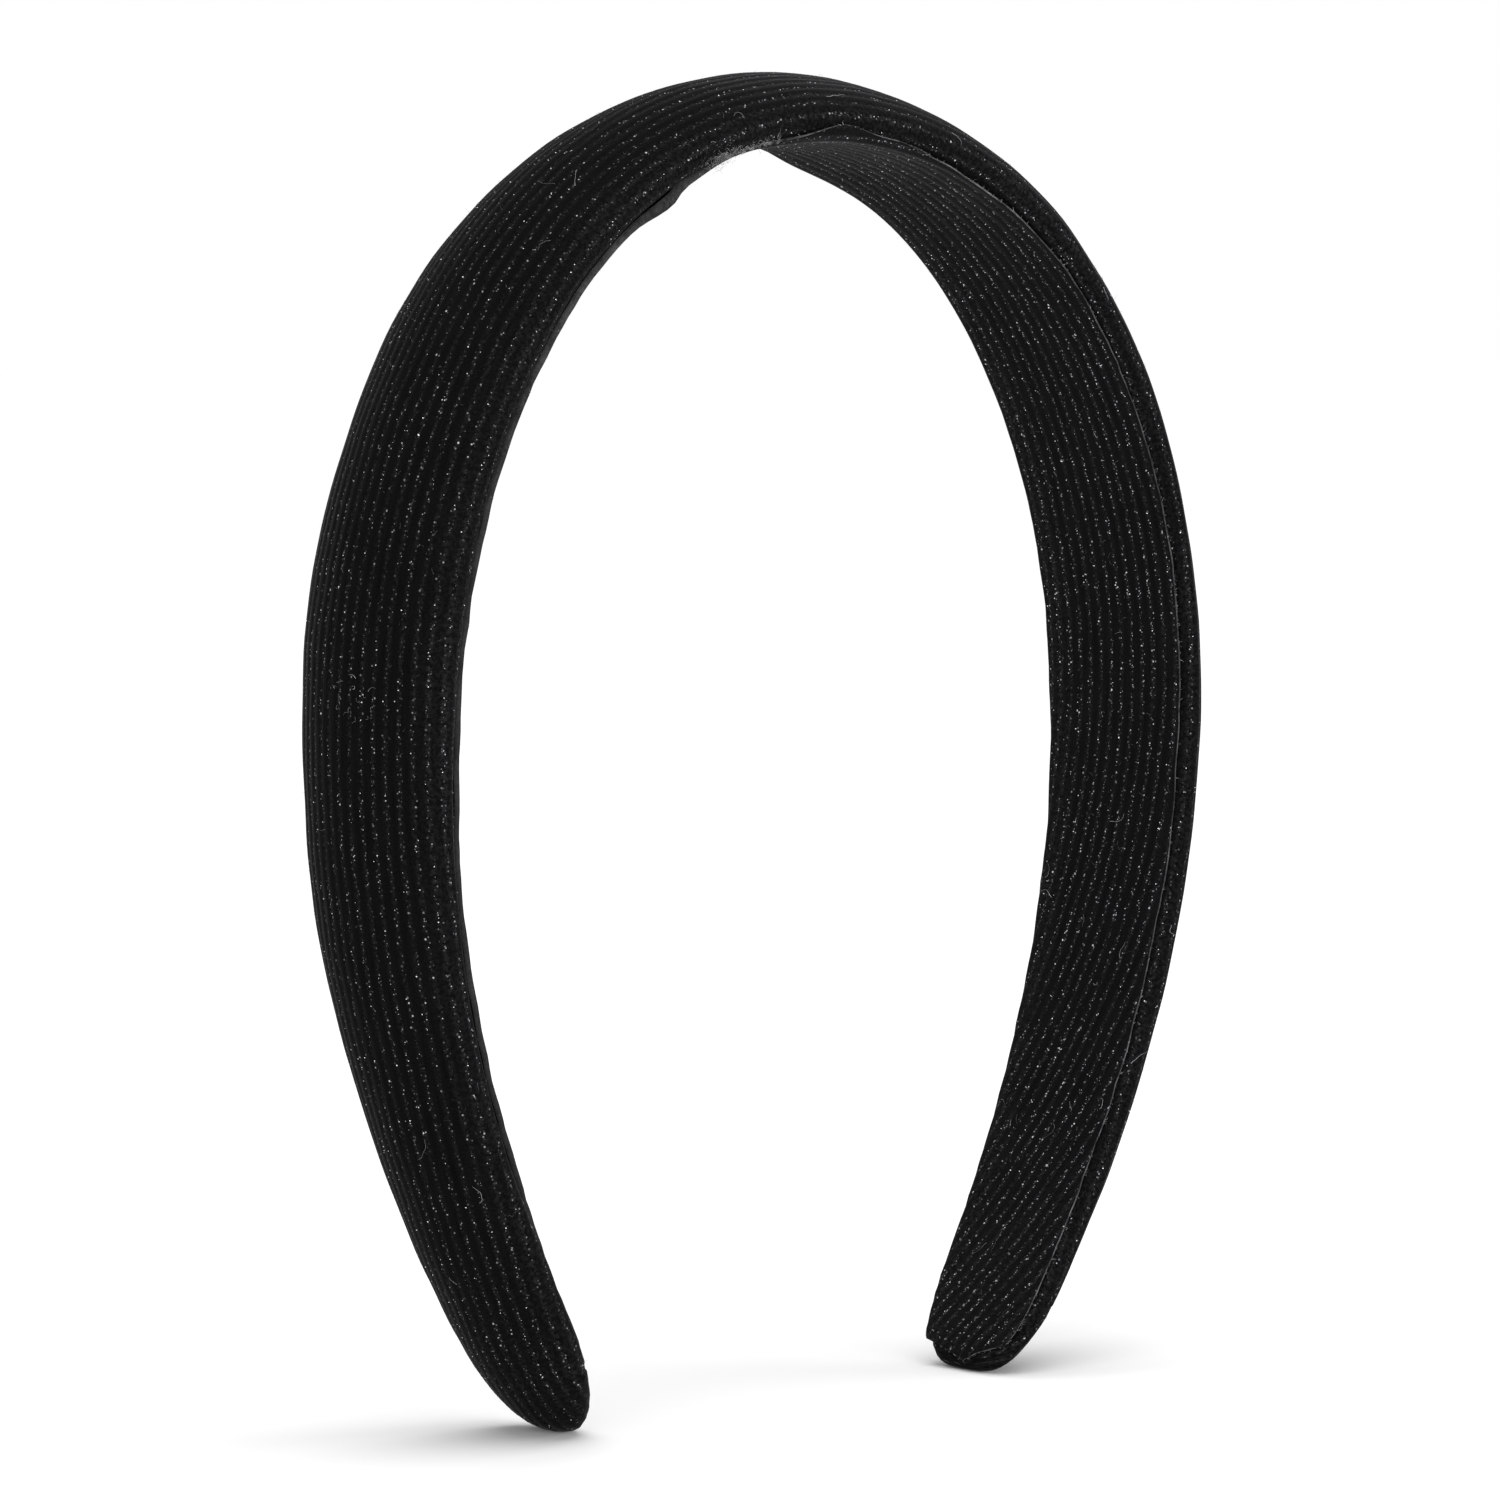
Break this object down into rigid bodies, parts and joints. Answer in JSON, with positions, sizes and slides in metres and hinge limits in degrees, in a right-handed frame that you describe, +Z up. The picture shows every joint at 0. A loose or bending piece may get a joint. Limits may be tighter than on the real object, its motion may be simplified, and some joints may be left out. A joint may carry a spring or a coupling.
{
  "type": "headband",
  "caption": "Padded hoop headband: springy plastic band, domed foam pad, ribbed glitter velvet cover turned under at its edges and closed by a velvet lining.",
  "frame": {"origin": "on the floor midway between the two tips, under the middle of the crown", "axes": "+X across the head from tip to tip, +Y from the front edge to the back edge across the band's width, +Z up from the tips to the crown"},
  "size_m": [0.132, 0.0266, 0.1609],
  "materials": {
    "band_plastic": "moulded, satin",
    "pad_adhesive": "thin adhesive film",
    "foam": "open-cell foam",
    "cover_velvet": "ribbed pile with fine glitter specks",
    "hot_melt": "hot-melt adhesive, waxy",
    "lining_velvet": "ribbed pile with fine glitter specks, cut edge"
  },
  "bodies": {
    "root": {"spring_band": "band_plastic", "pad_tape": "pad_adhesive", "foam_pad": "foam", "outer_cover": "cover_velvet", "front_glue_line": "hot_melt", "rear_glue_line": "hot_melt", "lining_glue": "hot_melt", "inner_lining": "lining_velvet"}
  },
  "joints": []
}
